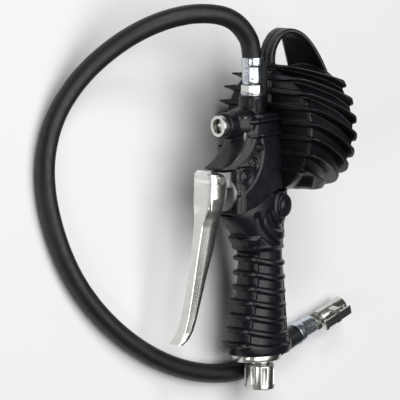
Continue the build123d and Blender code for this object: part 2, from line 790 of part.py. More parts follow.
# ---------------------------------------------------------------- assembly


def laid_parts():
    """Every part that belongs to the tool itself, by name, in the tool frame."""
    left, right = head_shells()
    return {
        "core_body": core_body(),
        "head_shell_left": left,
        "head_shell_right": right,
        "grip_sleeve": grip_sleeve(),
        "badge": badge(),
        "shell_screws": shell_screws(),
        "gauge_boot": gauge_boot(),
        "gauge_case": gauge_case(),
        "gauge_bezel": gauge_bezel(),
        "gauge_lens": gauge_lens(),
        "lens_gasket": lens_gasket(),
        "gauge_dial": gauge_dial(),
        "gauge_socket": gauge_socket(),
        "bourdon_tube": bourdon_tube(),
        "movement_link": movement_link(),
        "movement_frame": movement_frame(),
        "pointer_arbor": pointer_arbor(),
        "pointer_needle": pointer_needle(),
        "sector_gear": sector_gear(),
        "lever": lever(),
        "lever_pin": lever_pin(),
        "lever_clip": lever_clip(),
        "valve_bush": valve_bush(),
        "stem_seal": stem_seal(),
        "valve_seat": valve_seat(),
        "valve_stem": valve_stem(),
        "valve_spring": valve_spring(),
        "bleed_sleeve": bleed_sleeve(),
        "bleed_button": bleed_button(),
        "bleed_spring": bleed_spring(),
        "base_flange": base_flange(),
        "inlet_nipple": inlet_nipple(),
        "swivel_nut": swivel_nut(),
        "inlet_washer": inlet_washer(),
        "inlet_filter": inlet_filter(),
        "hose_adapter": hose_adapter(),
        "adapter_washer": adapter_washer(),
        "hose_ferrule": hose_ferrule(),
    }


def chuck_parts():
    """The parts at the hose's far end, by name, in the chuck's frame."""
    return {
        "chuck_ferrule": chuck_ferrule(),
        "chuck_body": chuck_body(),
        "chuck_seal": chuck_seal(),
        "clip_lever": clip_lever(),
        "clip_pin": clip_pin(),
        "clip_spring": clip_spring(),
    }


def solids_of(shape):
    """All the solids of a shape or of a list of shapes."""
    if isinstance(shape, list):
        return [solid for item in shape for solid in item.solids()]
    return shape.solids()


def write_node(name, shape, location):
    """Writes one node's STEP file in the finished part's frame."""
    placed = [location * solid for solid in solids_of(shape)]
    node = placed[0] if len(placed) == 1 else Compound(children=placed)
    export_step(node, f"parts/{name}.step")


os.makedirs("parts", exist_ok=True)
for part_name, part in laid_parts().items():
    write_node(part_name, part, PLACE)
for part_name, part in chuck_parts().items():
    write_node(part_name, part, CHUCK_ROLLED)
write_node("hose", hose(), Location((0, 0, 0)))
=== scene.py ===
import json
from math import cos, exp, hypot, pi, radians, sin, sqrt

import bpy
from mathutils import Matrix, Vector


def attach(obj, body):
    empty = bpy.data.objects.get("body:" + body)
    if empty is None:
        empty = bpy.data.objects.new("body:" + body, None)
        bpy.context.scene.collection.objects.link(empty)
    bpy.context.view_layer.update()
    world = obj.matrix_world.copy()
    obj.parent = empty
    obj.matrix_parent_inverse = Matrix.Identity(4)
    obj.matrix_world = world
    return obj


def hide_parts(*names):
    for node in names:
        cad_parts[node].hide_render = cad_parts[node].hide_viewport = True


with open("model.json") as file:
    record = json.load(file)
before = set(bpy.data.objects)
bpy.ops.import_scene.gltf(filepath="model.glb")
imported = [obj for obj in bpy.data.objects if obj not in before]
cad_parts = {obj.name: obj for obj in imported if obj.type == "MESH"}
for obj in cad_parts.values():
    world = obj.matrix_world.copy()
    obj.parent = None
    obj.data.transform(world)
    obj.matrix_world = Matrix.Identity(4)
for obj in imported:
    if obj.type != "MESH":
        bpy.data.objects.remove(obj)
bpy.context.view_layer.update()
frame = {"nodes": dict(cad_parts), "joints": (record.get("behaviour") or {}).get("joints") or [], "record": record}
joints = {joint["name"]: joint for joint in frame["joints"]}
nodes = frame["nodes"]

# ---------------------------------------------------------------- frames
# Pieces are built in millimetres in the tool's own frame: the origin at the centre of the
# drum's front face, +X back towards the dial, +Z up the handle, -Y the tool's left side.

MM = 0.001
POINTER_X = 33.0


def axes_at(origin, x_axis, z_axis):
    """The matrix from millimetres in a local frame to metres in the row frame."""
    x = Vector(x_axis).normalized()
    z = Vector(z_axis).normalized()
    turn = Matrix((x, z.cross(x), z)).transposed().to_4x4()
    return Matrix.Translation(origin) @ turn @ Matrix.Scale(MM, 4)


BACKWARDS = Vector((1, 0, 0))
UP_HANDLE = Vector(joints["inlet_swivel"]["axis"])
DRUM_CENTRE = Vector(joints["pointer_turn"]["pos_m"]) - POINTER_X * MM * BACKWARDS
TOOL = axes_at(DRUM_CENTRE, BACKWARDS, UP_HANDLE)

# ---------------------------------------------------------------- camera

CAMERA_AZIMUTH = 47.7
CAMERA_ELEVATION = 6.5
CAMERA_DISTANCE = 2.8
VIEW_WIDTH = 0.28
AIM = (-39.1, 28.0, -49.4)
SENSOR = 36.0


def tool_direction(azimuth, elevation):
    """A direction in the row frame, from angles in the tool's frame.

    Azimuth 0 is in front of the lever and 90 is straight above the floor; elevation is up the handle.
    """
    flat = cos(radians(elevation))
    local = Vector((-flat * cos(radians(azimuth)), -flat * sin(radians(azimuth)), sin(radians(elevation))))
    return (TOOL.to_3x3() @ local).normalized()


def aimed(location, target, up):
    """A matrix at a place, looking at a target, with a given direction upwards."""
    back = (location - target).normalized()
    right = up.cross(back).normalized()
    turn = Matrix((right, back.cross(right), back)).transposed().to_4x4()
    return Matrix.Translation(location) @ turn


def make_camera():
    """The camera at the photograph's angle."""
    data = bpy.data.cameras.new("camera")
    camera = bpy.data.objects.new("camera", data)
    bpy.context.scene.collection.objects.link(camera)
    data.sensor_width = SENSOR
    data.lens = SENSOR * CAMERA_DISTANCE / VIEW_WIDTH
    data.clip_end = 20
    target = TOOL @ Vector(AIM)
    place = target + CAMERA_DISTANCE * tool_direction(CAMERA_AZIMUTH, CAMERA_ELEVATION)
    camera.matrix_world = aimed(place, target, UP_HANDLE)
    bpy.context.scene.camera = camera


# ---------------------------------------------------------------- materials


class Surface:
    """A material under construction: a Principled shader and helpers that feed its sockets."""

    def __init__(self, name, roughness, metallic=0.0):
        self.material = bpy.data.materials.new(name)
        self.material.use_nodes = True
        self.tree = self.material.node_tree
        self.shader = self.tree.nodes["Principled BSDF"]
        self.shader.inputs["Metallic"].default_value = metallic
        self.shader.inputs["Roughness"].default_value = roughness
        self.place = self.tree.nodes.new("ShaderNodeTexCoord").outputs["Object"]

    def node(self, kind, **settings):
        """A new node with some of its settings given."""
        made = self.tree.nodes.new(kind)
        for key, value in settings.items():
            setattr(made, key, value)
        return made

    def link(self, output, target):
        """Joins an output to an input socket."""
        self.tree.links.new(output, target)

    def noise(self, scale, detail=4.0, stretch=(1, 1, 1)):
        """A noise pattern on the object's own coordinates, in cycles per metre."""
        mapping = self.node("ShaderNodeMapping")
        mapping.inputs["Scale"].default_value = stretch
        self.link(self.place, mapping.inputs["Vector"])
        texture = self.node("ShaderNodeTexNoise")
        texture.inputs["Scale"].default_value = scale
        texture.inputs["Detail"].default_value = detail
        self.link(mapping.outputs["Vector"], texture.inputs["Vector"])
        return texture.outputs["Fac"]

    def cells(self, scale):
        """A cell pattern: the distance to the nearest cell's centre."""
        texture = self.node("ShaderNodeTexVoronoi")
        texture.inputs["Scale"].default_value = scale
        self.link(self.place, texture.inputs["Vector"])
        return texture.outputs["Distance"]

    def ramp(self, factor, *stops):
        """A colour ramp through (position, colour) stops."""
        ramp = self.node("ShaderNodeValToRGB")
        ramp.color_ramp.elements[0].position = stops[0][0]
        ramp.color_ramp.elements[0].color = (*stops[0][1], 1)
        ramp.color_ramp.elements[1].position = stops[-1][0]
        ramp.color_ramp.elements[1].color = (*stops[-1][1], 1)
        for position, colour in stops[1:-1]:
            ramp.color_ramp.elements.new(position).color = (*colour, 1)
        self.link(factor, ramp.inputs["Fac"])
        return ramp.outputs["Color"]

    def span(self, factor, low, high):
        """A factor from 0.3 to 0.7 spread over a range of values."""
        spread = self.node("ShaderNodeMapRange")
        spread.inputs["From Min"].default_value = 0.3
        spread.inputs["From Max"].default_value = 0.7
        spread.inputs["To Min"].default_value = low
        spread.inputs["To Max"].default_value = high
        self.link(factor, spread.inputs["Value"])
        return spread.outputs["Result"]

    def edges(self, low=0.52, high=0.62):
        """How far a place lies on a convex edge, from 0 to 1."""
        geometry = self.node("ShaderNodeNewGeometry")
        spread = self.node("ShaderNodeMapRange")
        spread.inputs["From Min"].default_value = low
        spread.inputs["From Max"].default_value = high
        self.link(geometry.outputs["Pointiness"], spread.inputs["Value"])
        return spread.outputs["Result"]

    def mix(self, factor, first, second):
        """Blends two colours by a factor."""
        mix = self.node("ShaderNodeMix", data_type="RGBA")
        self.link(factor, mix.inputs["Factor"])
        for value, socket in ((first, mix.inputs["A"]), (second, mix.inputs["B"])):
            if isinstance(value, tuple):
                socket.default_value = (*value, 1)
            else:
                self.link(value, socket)
        return mix.outputs["Result"]

    def colour(self, output):
        """Feeds the base colour."""
        self.link(output, self.shader.inputs["Base Color"])

    def roughness(self, output):
        """Feeds the roughness."""
        self.link(output, self.shader.inputs["Roughness"])

    def bump(self, *layers):
        """Stacks bump layers, each a height output, a strength and a depth in metres."""
        normal = None
        for height, strength, depth in layers:
            bump = self.node("ShaderNodeBump")
            bump.inputs["Strength"].default_value = strength
            bump.inputs["Distance"].default_value = depth
            self.link(height, bump.inputs["Height"])
            if normal is not None:
                self.link(normal, bump.inputs["Normal"])
            normal = bump.outputs["Normal"]
        self.link(normal, self.shader.inputs["Normal"])

    def set(self, socket, value):
        """Sets a constant on one of the shader's own sockets."""
        self.shader.inputs[socket].default_value = value


def moulded_black(name, dark, light, roughness, grain, depth, edge_highlight):
    """Black moulded plastic or rubber: fine spark-eroded grain, soft clouding and a painted highlight that makes
    convex edges paler.
    """
    surface = Surface(name, roughness)
    cloud = surface.noise(55, 5)
    body = surface.ramp(cloud, (0.35, dark), (0.65, light))
    # painted highlight: convex edges are mixed towards a paler colour
    surface.colour(surface.mix(surface.edges(), body, edge_highlight))
    surface.roughness(surface.span(surface.noise(240, 3), roughness - 0.06, roughness + 0.07))
    surface.bump((surface.noise(90, 2), 0.12, 0.0006), (surface.cells(grain), 0.35, depth))
    surface.set("Specular IOR Level", 0.4)
    return surface.material


def plated_metal(name, dark, light, roughness, stretch, edge_highlight, brushing=0.12):
    """Plated metal: faint drawn lines, mottled tone and a painted highlight that makes convex edges brighter."""
    surface = Surface(name, roughness, metallic=1.0)
    tone = surface.noise(130, 6)
    body = surface.ramp(tone, (0.3, dark), (0.7, light))
    # painted highlight: convex edges are mixed towards a brighter colour
    surface.colour(surface.mix(surface.edges(0.51, 0.6), body, edge_highlight))
    lines = surface.noise(900, 3, stretch)
    surface.roughness(surface.span(lines, roughness - 0.05, roughness + 0.09))
    surface.bump((surface.noise(70, 2), 0.1, 0.0005), (lines, brushing, 0.00006))
    return surface.material


def cast_metal(name, dark, light, roughness):
    """Die-cast or sand-textured metal: pitted, uneven and matt."""
    surface = Surface(name, roughness, metallic=1.0)
    surface.colour(surface.ramp(surface.noise(300, 8), (0.3, dark), (0.7, light)))
    surface.roughness(surface.span(surface.noise(500, 4), roughness - 0.08, roughness + 0.1))
    surface.bump((surface.noise(700, 5), 0.35, 0.0001), (surface.cells(1600), 0.2, 0.00005))
    return surface.material


def hose_rubber():
    """Matt black hose rubber with a faint cloth imprint and dust."""
    surface = Surface("hose_rubber", 0.5)
    body = surface.ramp(
        surface.noise(80, 5), (0.35, (0.003, 0.0033, 0.0042)), (0.7, (0.006, 0.0065, 0.008)))
    dust = surface.ramp(surface.noise(420, 6), (0.6, (0, 0, 0)), (0.8, (0.35, 0.35, 0.35)))
    surface.colour(surface.mix(dust, body, (0.016, 0.017, 0.02)))
    surface.roughness(surface.span(surface.noise(260, 4), 0.4, 0.56))
    surface.bump((surface.noise(110, 3), 0.1, 0.0006), (surface.cells(2400), 0.25, 0.00006))
    return surface.material


def dial_paint():
    """Matt white dial enamel with a slight ageing towards cream."""
    surface = Surface("dial_paint", 0.45)
    surface.colour(surface.ramp(
        surface.noise(60, 6), (0.3, (0.78, 0.78, 0.75)), (0.7, (0.86, 0.86, 0.84))))
    surface.bump((surface.noise(1200, 3), 0.1, 0.00003))
    return surface.material


def lens_plastic():
    """The clear lens, with fine wiping marks."""
    surface = Surface("lens_plastic", 0.05)
    surface.colour(surface.ramp(surface.noise(20, 2), (0.3, (0.96, 0.97, 0.97)), (0.7, (1, 1, 1))))
    surface.roughness(surface.span(surface.noise(500, 3, (1, 12, 1)), 0.02, 0.09))
    surface.set("Transmission Weight", 1.0)
    surface.set("IOR", 1.49)
    return surface.material


def floor_paper():
    """Pale studio paper with a barely visible tooth."""
    surface = Surface("floor_paper", 0.85)
    surface.colour(surface.ramp(
        surface.noise(6, 3), (0.3, (0.88, 0.88, 0.885)), (0.7, (0.91, 0.91, 0.915))))
    surface.bump((surface.noise(900, 3), 0.06, 0.0001))
    return surface.material


def make_materials():
    """Every material, by the record's slot that it belongs to."""
    # the last colour given to each material below is its painted highlight along convex edges
    edge_highlight_black = (0.022, 0.024, 0.030)
    return {
        "black_plastic": moulded_black(
            "black_plastic", (0.004, 0.0045, 0.006), (0.008, 0.009, 0.012), 0.30, 2600, 0.00005, edge_highlight_black),
        "grip_plastic": moulded_black(
            "grip_plastic", (0.0045, 0.005, 0.007), (0.009, 0.0105, 0.014), 0.31, 2200, 0.00006, edge_highlight_black),
        "boot_rubber": moulded_black(
            "boot_rubber", (0.0035, 0.004, 0.0055), (0.007, 0.008, 0.0105), 0.33, 1500, 0.00008, edge_highlight_black),
        "seal_rubber": moulded_black(
            "seal_rubber", (0.008, 0.008, 0.009), (0.014, 0.014, 0.015), 0.55, 2000, 0.00004,
            (0.02, 0.02, 0.02)),
        "pointer_black": moulded_black(
            "pointer_black", (0.006, 0.006, 0.006), (0.012, 0.012, 0.012), 0.5, 3000, 0.00002,
            (0.03, 0.03, 0.03)),
        "nickel": plated_metal(
            "nickel", (0.56, 0.56, 0.52), (0.68, 0.68, 0.64), 0.24, (1, 8, 8), (0.82, 0.82, 0.79)),
        "bright_nickel": plated_metal(
            "bright_nickel", (0.60, 0.61, 0.57), (0.70, 0.71, 0.67), 0.2, (1, 8, 8), (0.86, 0.86, 0.84),
            brushing=0.08),
        "zinc": plated_metal(
            "zinc", (0.58, 0.63, 0.70), (0.72, 0.77, 0.83), 0.25, (8, 1, 1), (0.86, 0.9, 0.95)),
        "plated_steel": plated_metal(
            "plated_steel", (0.45, 0.45, 0.44), (0.58, 0.58, 0.57), 0.28, (6, 1, 6), (0.75, 0.75, 0.74)),
        "case_steel": plated_metal(
            "case_steel", (0.40, 0.41, 0.42), (0.52, 0.53, 0.54), 0.32, (1, 9, 9), (0.7, 0.7, 0.7)),
        "brass": plated_metal(
            "brass", (0.55, 0.38, 0.14), (0.72, 0.52, 0.22), 0.27, (9, 1, 1), (0.85, 0.66, 0.34)),
        "die_cast": cast_metal("die_cast", (0.45, 0.46, 0.46), (0.62, 0.63, 0.63), 0.42),
        "hose_rubber": hose_rubber(),
        "dial_white": dial_paint(),
        "lens": lens_plastic(),
    }


materials = make_materials()


def dress_frame():
    """Gives every CAD node the material of its slot in the record."""
    slots = [entry["slot"] for entry in frame["record"]["materials"]]
    for node in nodes.values():
        imported = node.data.materials[0].name if node.data.materials else ""
        for slot in slots:
            if imported.startswith(slot):
                node.data.materials[0] = materials[slot]


EDGE_WIDTHS = {
    "hose_ferrule": 0.3, "chuck_ferrule": 0.3, "hose_adapter": 0.35, "adapter_washer": 0.25,
    "swivel_nut": 0.35, "base_flange": 0.5, "inlet_nipple": 0.3, "bleed_sleeve": 0.45,
    "bleed_button": 0.4, "lever_pin": 0.5, "lever_clip": 0.1, "valve_bush": 0.3, "valve_stem": 0.3,
    "chuck_body": 0.35, "clip_lever": 0.4, "clip_pin": 0.15, "gauge_bezel": 0.3, "shell_screws": 0.15,
    "pointer_needle": 0.08,
}
WELD_REACH = 0.002
EDGE_ANGLE = 32


def soften_edges():
    """Rounds the visible CAD nodes' sharp edges a little, so that they catch the light."""
    for name, width in EDGE_WIDTHS.items():
        weld = nodes[name].modifiers.new("weld", "WELD")
        weld.merge_threshold = WELD_REACH * MM
        bevel = nodes[name].modifiers.new("bevel", "BEVEL")
        bevel.width = width * MM
        bevel.segments = 3
        bevel.limit_method = "ANGLE"
        bevel.angle_limit = radians(EDGE_ANGLE)
        bevel.harden_normals = True


# ---------------------------------------------------------------- mesh tools


def added(name, mesh, material, body, slot, *replaced):
    """Puts a finished mesh in the scene as a piece that rides on a body."""
    mesh.name = name
    if not mesh.materials:
        mesh.materials.append(materials[material])
    piece = bpy.data.objects.new(name, mesh)
    bpy.context.scene.collection.objects.link(piece)
    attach(piece, body)
    if replaced:
        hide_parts(*replaced)
    return piece


def raw_mesh(solids, place):
    """One mesh from closed solids, each a list of points and a list of faces in a local frame."""
    points, faces = [], []
    for solid_points, solid_faces in solids:
        start = len(points)
        points.extend(place @ Vector(point) for point in solid_points)
        faces.extend([start + index for index in face] for face in solid_faces)
    mesh = bpy.data.meshes.new("raw")
    mesh.from_pydata(points, [], faces)
    mesh.validate()
    return mesh


def finished(mesh, *modifiers):
    """The mesh after a stack of modifiers, each a kind and its settings."""
    worker = bpy.data.objects.new("worker", mesh)
    bpy.context.scene.collection.objects.link(worker)
    for kind, settings in modifiers:
        modifier = worker.modifiers.new(kind, kind)
        for key, value in settings.items():
            setattr(modifier, key, value)
    bpy.context.view_layer.update()
    evaluated = worker.evaluated_get(bpy.context.evaluated_depsgraph_get())
    result = bpy.data.meshes.new_from_object(evaluated)
    bpy.data.objects.remove(worker)
    return result


def outward(solid):
    """The solid with its faces turned so that its volume is positive."""
    points, faces = solid
    volume = 0.0
    for face in faces:
        first = Vector(points[face[0]])
        for second, third in zip(face[1:], face[2:]):
            volume += first.dot(Vector(points[second]).cross(Vector(points[third])))
    return (points, faces) if volume > 0 else (points, [face[::-1] for face in faces])


def loft(rings):
    """A closed solid through rings with equal numbers of points."""
    count = len(rings[0])
    points = [point for ring in rings for point in ring]
    faces = [list(range(count))[::-1]]
    for row in range(len(rings) - 1):
        for i in range(count):
            j = (i + 1) % count
            low, high = row * count, (row + 1) * count
            faces.append([low + i, low + j, high + j, high + i])
    faces.append([(len(rings) - 1) * count + i for i in range(count)])
    return outward((points, faces))


def turned(profile, count=128):
    """A solid of revolution about X from a closed profile of (x, radius) points."""
    points, faces = [], []
    size = len(profile)
    for i in range(count):
        angle = 2 * pi * i / count
        points.extend((x, r * cos(angle), r * sin(angle)) for x, r in profile)
    for i in range(count):
        here, there = i * size, (i + 1) % count * size
        for a in range(size):
            b = (a + 1) % size
            faces.append([here + a, here + b, there + b, there + a])
    return outward((points, faces))


def moved(solid, matrix):
    """The solid carried by a matrix."""
    points, faces = solid
    return [matrix @ Vector(point) for point in points], faces


def standing(solid, x, y, z):
    """A solid turned about X stood up along Z at a place."""
    return outward(moved(solid, Matrix.Translation((x, y, z)) @ Matrix.Rotation(radians(-90), 4, "Y")))


def rod(path, radii, count=16):
    """A round rod through points, with a radius at each point."""
    rings = []
    for k, centre in enumerate(path):
        ahead = Vector(path[min(k + 1, len(path) - 1)])
        behind = Vector(path[max(k - 1, 0)])
        along = (ahead - behind).normalized()
        side = along.cross(Vector((0.3, 0.2, 1))).normalized()
        other = along.cross(side)
        radius = radii[k] if isinstance(radii, (list, tuple)) else radii
        rings.append([
            Vector(centre) + radius * (cos(2 * pi * i / count) * side + sin(2 * pi * i / count) * other)
            for i in range(count)
        ])
    return loft(rings)


def smoothstep(low, high, value):
    """0 below low, 1 above high, and a smooth rise between them."""
    t = min(1.0, max(0.0, (value - low) / (high - low)))
    return t * t * (3 - 2 * t)


def between(table, position):
    """The values at a position in rows of (position, values...), in straight runs."""
    if position <= table[0][0]:
        return table[0][1:]
    for before, after in zip(table, table[1:]):
        if position <= after[0]:
            t = (position - before[0]) / (after[0] - before[0])
            return tuple(a + (b - a) * t for a, b in zip(before[1:], after[1:]))
    return table[-1][1:]


def curved(table, count):
    """Rows between the given ones on a Catmull-Rom curve, count of them for each gap."""
    rows = []
    last = len(table) - 1
    for k in range(last):
        p0, p1, p2, p3 = (table[min(max(k + step, 0), last)] for step in (-1, 0, 1, 2))
        for i in range(count):
            t = i / count
            rows.append(tuple(
                0.5 * (2 * b + (c - a) * t + (2 * a - 5 * b + 4 * c - d) * t * t
                       + (3 * b - a - 3 * c + d) * t**3)
                for a, b, c, d in zip(p0, p1, p2, p3)
            ))
    rows.append(tuple(table[-1]))
    return rows


def moulded(solids, voxel, smoothing, place=TOOL):
    """Overlapping solids melted into one skin with soft inside corners."""
    return finished(
        raw_mesh(solids, place),
        ("REMESH", {"mode": "VOXEL", "voxel_size": voxel * MM}),
        ("SMOOTH", {"factor": 0.5, "iterations": smoothing}),
    )


def carve(mesh, shift, place=TOOL):
    """Moves each point of a mesh by a function of its place in the local frame."""
    back = place.inverted()
    for vertex in mesh.vertices:
        local = back @ vertex.co
        vertex.co = place @ (local + shift(local))
    mesh.update()


def smooth_faces(mesh, angle=40):
    """Smooth shading, with creases kept sharp above an angle."""
    mesh.shade_smooth()
    mesh.set_sharp_from_angle(angle=radians(angle))
    return mesh


# ---------------------------------------------------------------- gauge boot

DRUM_R = 43.4
DRUM_REAR = 41.0
DRUM_WALL_R = 41.6
FIN_R = 51.9
FIN_FRONT = -3.6
FIN_CURVE = 1.3
FIN_HEIGHTS = (46.2, 38.2, 28.6, 18.2, 7.6, -2.6, -14.0, -26.0)
FIN_DROPS = (13.0, 17.0, 20.0, 21.8, 23.0, 24.0, 23.0, 20.0)
FIN_ROOT = 3.6
FIN_TIP = 1.8
FIN_FILLET = 1.6
FIN_BASE = 0.6
LOBE_ROUNDNESS = 2.4
LOBE_ENDS = (41.4, 41.4, 41.4, 41.4, 41.4, 41.0, 38.0, 30.0)
LOBE_LENGTHS = (9.0, 9.0, 9.0, 9.0, 10.0, 13.0, 16.0, 16.0)
LOBE_HOOK = 2.8
SKIRT_HOOK = 8.0
SKIRT_LOW = -40.5
BOOT_VOXEL = 0.55


def fin_height(index, x):
    """The height of a fin's middle at a place along the drum."""
    share = (x - FIN_FRONT) / (DRUM_REAR - FIN_FRONT)
    return FIN_HEIGHTS[index] - FIN_TIP / 2 - FIN_DROPS[index] * max(0.0, share) ** FIN_CURVE


def fin_reach(index, x):
    """How far out a fin's edge stands, with a round lobe behind and a round nose in front."""
    start = LOBE_ENDS[index] - LOBE_LENGTHS[index]
    if x > start:
        share = (x - start) / LOBE_LENGTHS[index]
        base = DRUM_R - FIN_BASE
        return base + (FIN_R - base) * sqrt(max(0.0, 1 - share**LOBE_ROUNDNESS))
    if x < 0:
        return FIN_R - 1.6 * (x / FIN_FRONT) ** 2
    return FIN_R


def fin_hook(index, x):
    """How far a fin's underside hangs down: at the lobes, and all along the lowest fin."""
    if index == len(FIN_HEIGHTS) - 1:
        return SKIRT_HOOK * smoothstep(2.0, 10.0, x)
    return LOBE_HOOK * smoothstep(LOBE_ENDS[index] - LOBE_LENGTHS[index] - 6, LOBE_ENDS[index], x)


def fin_strip(index, side, stations, inner):
    """One side's strip of a fin, from the drum's wall out to the fin's edge."""
    rings = []
    for x in stations:
        top = fin_height(index, x)
        bottom = max(top - fin_hook(index, x), min(top, SKIRT_LOW))
        rows = []
        for z, way in ((top, 1), (bottom, -1)):
            start = inner(z)
            end = max(start + 0.4, sqrt(max(0.0, fin_reach(index, x) ** 2 - z * z)))
            row = []
            for i in range(9):
                y = start + (end - start) * i / 8
                out = max(0.0, hypot(y, z) - DRUM_R)
                half = (FIN_TIP + (FIN_ROOT - FIN_TIP) * exp(-out / FIN_FILLET)) / 2
                row.append((x, side * y, z + way * half * (0.6 if i == 8 else 1)))
            rows.append(row)
        upper, lower = rows
        rings.append(upper + lower[::-1])
    return loft(rings)


def over_wall(z):
    """Where a fin begins above the drum's side."""
    return sqrt(max(0.0, DRUM_WALL_R**2 - z * z)) - 0.3


def over_front(z):
    """Where a fin begins on the drum's front face, beside the head and above it."""
    return -0.3 if z > 13 else 12.0


def loop_strap():
    """The hanging loop, a ribbed strap arched from the front rim to the rear rim."""
    table = [
        (-3.4, 42.0, 1.7, 42.0, 6.2), (-3.3, 49.0, 1.8, 49.0, 6.2), (-3.2, 54.0, 2.2, 54.0, 6.3),
        (0.4, 61.5, 4.6, 59.2, 6.4), (6.5, 67.5, 8.8, 64.0, 6.8), (15.0, 70.2, 15.0, 66.6, 8.0),
        (23.0, 67.6, 21.4, 64.2, 11.6), (29.4, 60.6, 26.2, 58.6, 14.8), (35.0, 51.0, 31.4, 49.4, 17.4),
        (40.0, 40.0, 36.4, 39.0, 19.4),
    ]
    rings = []
    for x_out, z_out, x_in, z_in, half in curved(table, 5):
        outer, inner = Vector((x_out, 0, z_out)), Vector((x_in, 0, z_in))
        ring = []
        for v, depth in (
            (-0.86, 0.0), (-0.5, 0.0), (-0.12, 0.0), (0.0, 0.22), (0.12, 0.0), (0.5, 0.0), (0.86, 0.0),
            (1.0, 0.25), (1.0, 0.75), (0.86, 1.0), (0.5, 1.0), (0.0, 1.0), (-0.5, 1.0), (-0.86, 1.0),
            (-1.0, 0.75), (-1.0, 0.25),
        ):
            ring.append(outer.lerp(inner, depth) + Vector((0, v * half, 0)))
        rings.append(ring)
    return loft(rings)


def front_spine():
    """The band that runs down the drum's face from the loop to the tower."""
    rings = []
    for z, front, half in curved([(13.5, -1.0, 2.6), (16, -3.2, 3.0), (30, -3.7, 3.3), (46, -3.7, 3.6)], 4):
        rings.append([
            (0.4, -half - 0.4, z), (front + 0.8, -half, z), (front, -half + 1.0, z),
            (front, half - 1.0, z), (front + 0.8, half, z), (0.4, half + 0.4, z),
        ])
    return loft(rings)


def make_boot():
    """The rubber boot: drum, fins, front ribs, spine and hanging loop."""
    drum = turned([
        (-0.6, 9.4), (-0.6, 41.8), (-0.2, 42.8), (0.8, 43.4), (39.6, 43.4), (40.7, 42.9), (41.0, 42.0),
        (41.0, 40.4), (40.6, 39.8), (39.2, 39.7), (39.2, 41.5), (32.4, 41.5), (32.4, 40.1),
        (2.5, 40.1), (2.5, 9.4),
    ])
    solids = [drum, loop_strap(), front_spine()]
    side_stations = [FIN_FRONT + 1.6 + k * 1.5 for k in range(28)] + [DRUM_REAR - 0.4]
    front_stations = [FIN_FRONT, FIN_FRONT + 0.4, -1.6, 0.6]
    for index in range(len(FIN_HEIGHTS)):
        stations = [x for x in side_stations if x < LOBE_ENDS[index] + 0.6]
        for side in (-1, 1):
            solids.append(fin_strip(index, side, stations, over_wall))
            solids.append(fin_strip(index, side, front_stations, over_front))
    mesh = moulded(solids, BOOT_VOXEL, 4)
    mesh.shade_smooth()
    added("rubber_boot", mesh, "boot_rubber", "tool", "boot_rubber", "gauge_boot")


# ---------------------------------------------------------------- head shells

HEAD_VOXEL = 0.55
TOWER_X = -15.5
TOWER_TOP = 25.0
BLEED_Z = 4.9
VALVE_Z = -42.0
SHELL_HOLE_R = 14.0
SHELL_BACK = -0.8
CHEEK_TOP = -23.6
CHEEK_HALF = 15.7
CHEEK_SPREAD = 0.026
SIDE_BAND_LEVELS = (7.6, -2.6)
SIDE_BAND_R = 1.55
DIMPLES = ((-20.6, -10.8, 3.0), (-26.4, -20.9, 3.9), (-34.6, -30.4, 5.4))
DIMPLE_DEPTH = 1.25
PANEL_CENTRE = (-54.2, -9.8)
PANEL_R = 36.2
PANEL_STEP = 0.6


def hood_section(z, front, ridge_x, ridge_y, back_y, lean):
    """One level cross-section of the hood: a blunt nose, a ridge on each side and flat flanks."""
    half = []
    for i in range(9):
        share = i / 8
        reach = sin(share * pi / 2) ** 0.9
        half.append((front + (ridge_x - front) * (1 - sqrt(max(0.0, 1 - reach**lean))), reach * ridge_y))
    half.append((ridge_x + 1.2, ridge_y + 0.7))
    half.append(((ridge_x + SHELL_BACK) / 2, back_y))
    half.append((SHELL_BACK, back_y))
    return [(x, y, z) for x, y in half] + [(x, -y, z) for x, y in half[:0:-1]]


def hood():
    """The hood over the lever's pivot, swept forward from under the bleed boss."""
    levels = [
        (12.4, -28.0, -21.0, 10.6, 12.2, 2.0), (5.0, -31.5, -23.0, 12.0, 12.9, 2.0),
        (-4.0, -35.6, -25.0, 12.9, 13.7, 2.0), (-10.4, -38.4, -28.4, 13.4, 14.4, 2.2),
        (-15.0, -41.2, -32.2, 13.2, 14.9, 2.6), (-18.6, -44.6, -36.6, 12.6, 15.2, 3.2),
        (-21.6, -48.6, -42.4, 11.6, 15.5, 4.5), (-23.6, -52.4, -48.8, 10.2, 15.7, 7.0),
        (-25.4, -52.5, -49.2, 10.0, 15.8, 7.0),
    ]
    return loft([hood_section(*level) for level in curved(levels, 4)])


def cheeks():
    """The lower head: two flat cheeks round the valve boss, down to the slanted grip joint."""
    rings = []
    for share in (0.0, 0.1, 0.3, 0.6, 0.85, 1.0):
        ring = []
        for x, low, inset in (
            (-42.0, -57.2, 3.6), (-39.6, -56.2, 0.5), (-36.0, -54.6, 0.0), (-22.0, -48.4, 0.0),
            (-4.0, -40.4, 0.0), (SHELL_BACK, -39.8, 0.0),
        ):
            z = low + (CHEEK_TOP - low) * share
            half = CHEEK_HALF + (CHEEK_TOP - z) * CHEEK_SPREAD
            ring.append((x, half - inset, z))
        rings.append(ring + [(x, -y, z) for x, y, z in ring[::-1]])
    return loft(rings)


def bleed_boss():
    """The round boss and collar that carry the bleed port."""
    profile = [
        (-43.2, 7.0), (-43.4, 8.6), (-42.6, 9.4), (-36.2, 9.5), (-35.8, 9.0), (-35.3, 9.0), (-34.9, 9.9),
        (-31.0, 11.2), (-26.0, 12.6), (-20.0, 12.0), (-20.0, 0.05), (-35.0, 0.05), (-35.0, 7.0),
    ]
    return moved(turned(profile, 72), Matrix.Translation((0, 0, BLEED_Z)))


def tower():
    """The round tower round the hose fitting, flared at its foot."""
    profile = [
        (8.0, 0.05), (8.0, 12.4), (11.2, 12.2), (13.4, 10.4), (16.5, 9.4), (24.2, 9.1), (TOWER_TOP, 8.5),
        (TOWER_TOP, 7.8), (12.0, 7.8), (12.0, 0.05),
    ]
    return standing(turned(profile, 72), TOWER_X, 0, 0)


